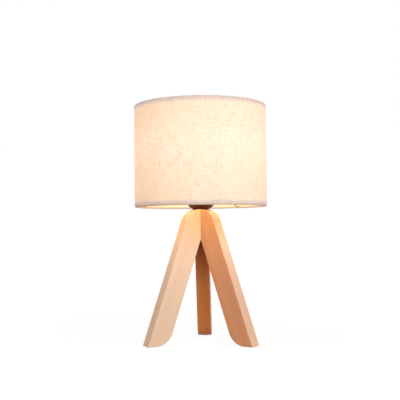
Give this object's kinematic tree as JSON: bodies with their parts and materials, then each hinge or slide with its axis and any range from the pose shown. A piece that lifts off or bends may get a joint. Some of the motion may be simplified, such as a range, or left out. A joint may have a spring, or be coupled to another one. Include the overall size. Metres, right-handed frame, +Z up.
{
  "type": "tripod table lamp",
  "caption": "Small table lamp: a round linen drum shade over a bulb and lampholder, on a tripod of three splayed light wooden legs joined at mitres.",
  "frame": {"origin": "on the floor under the lamp's axis", "axes": "+Z up along the lamp's axis, -Y the front that the picture shows, one leg straight back along +Y"},
  "size_m": [0.17, 0.17, 0.3042],
  "materials": {
    "beech": "clear satin lacquer over light straight-grained hardwood",
    "pad": "translucent soft anti-slip pad",
    "dowel": "plain birch",
    "plated_steel": "zinc plated",
    "bushing_nylon": "moulded nylon",
    "holder_plastic": "moulded thermoset, near black",
    "core_plastic": "moulded, off-white",
    "brass_plate": "bright brass",
    "bronze_strip": "sprung bronze strip",
    "ring_plastic": "moulded, near black",
    "white_wire": "white powder coat",
    "liner_film": "translucent laminate film",
    "linen": "natural slubby linen, plain weave",
    "bulb_solder": "tinned",
    "bulb_insulation": "black glass-like insulation",
    "bulb_nickel": "nickel plated brass",
    "bulb_white": "moulded white",
    "bulb_diffuser": "opal, warm white light",
    "board_metal": "white solder mask on aluminium",
    "led_phosphor": "yellow phosphor",
    "driver_laminate": "green laminate"
  },
  "bodies": {
    "stand": {"leg_left": "beech", "leg_right": "beech", "leg_rear": "beech", "foot_pad_left": "pad", "foot_pad_right": "pad", "foot_pad_rear": "pad", "joint_dowels": "dowel", "threaded_tube": "plated_steel", "tube_washer": "plated_steel", "tube_nut": "plated_steel", "cord_bushing": "bushing_nylon", "holder_cap": "holder_plastic", "cap_lock_screw": "plated_steel", "holder_core": "core_plastic", "terminal_screws": "brass_plate", "centre_contact": "bronze_strip", "side_contact": "bronze_strip", "screw_shell": "brass_plate", "holder_skirt": "holder_plastic"},
    "shade": {"fitter_ring": "white_wire", "fitter_arms": "white_wire", "lower_hoop": "white_wire", "upper_hoop": "white_wire", "shade_liner": "liner_film", "shade_fabric": "linen"},
    "ring": {"shade_ring": "ring_plastic"},
    "bulb_tip": {"bulb_contact": "bulb_solder"},
    "bulb": {"bulb_insulator": "bulb_insulation", "bulb_screw_cap": "bulb_nickel", "bulb_housing": "bulb_white", "bulb_globe": "bulb_diffuser", "led_board": "board_metal", "led_chips": "led_phosphor", "led_driver": "driver_laminate"}
  },
  "joints": [
    {"name": "shade_turn", "type": "hinge", "parent": "stand", "child": "shade", "pos_m": [0, 0, 0.1996], "axis": [0, 0, 1], "continuous": true},
    {"name": "ring_turn", "type": "hinge", "parent": "stand", "child": "ring", "pos_m": [0, 0, 0.2009], "axis": [0, 0, 1], "range_deg": [0, 2160]},
    {"name": "bulb_lift", "type": "slide", "parent": "stand", "child": "bulb_tip", "axis": [0, 0, 1], "range_m": [0, 0.0182]},
    {"name": "bulb_turn", "type": "hinge", "parent": "bulb_tip", "child": "bulb", "pos_m": [0, 0, 0.197], "axis": [0, 0, 1], "range_deg": [0, 1800]}
  ],
  "couplings": [
    {"joint": "bulb_lift", "follows": "bulb_turn", "m_per_rad": 0.00057757}
  ]
}
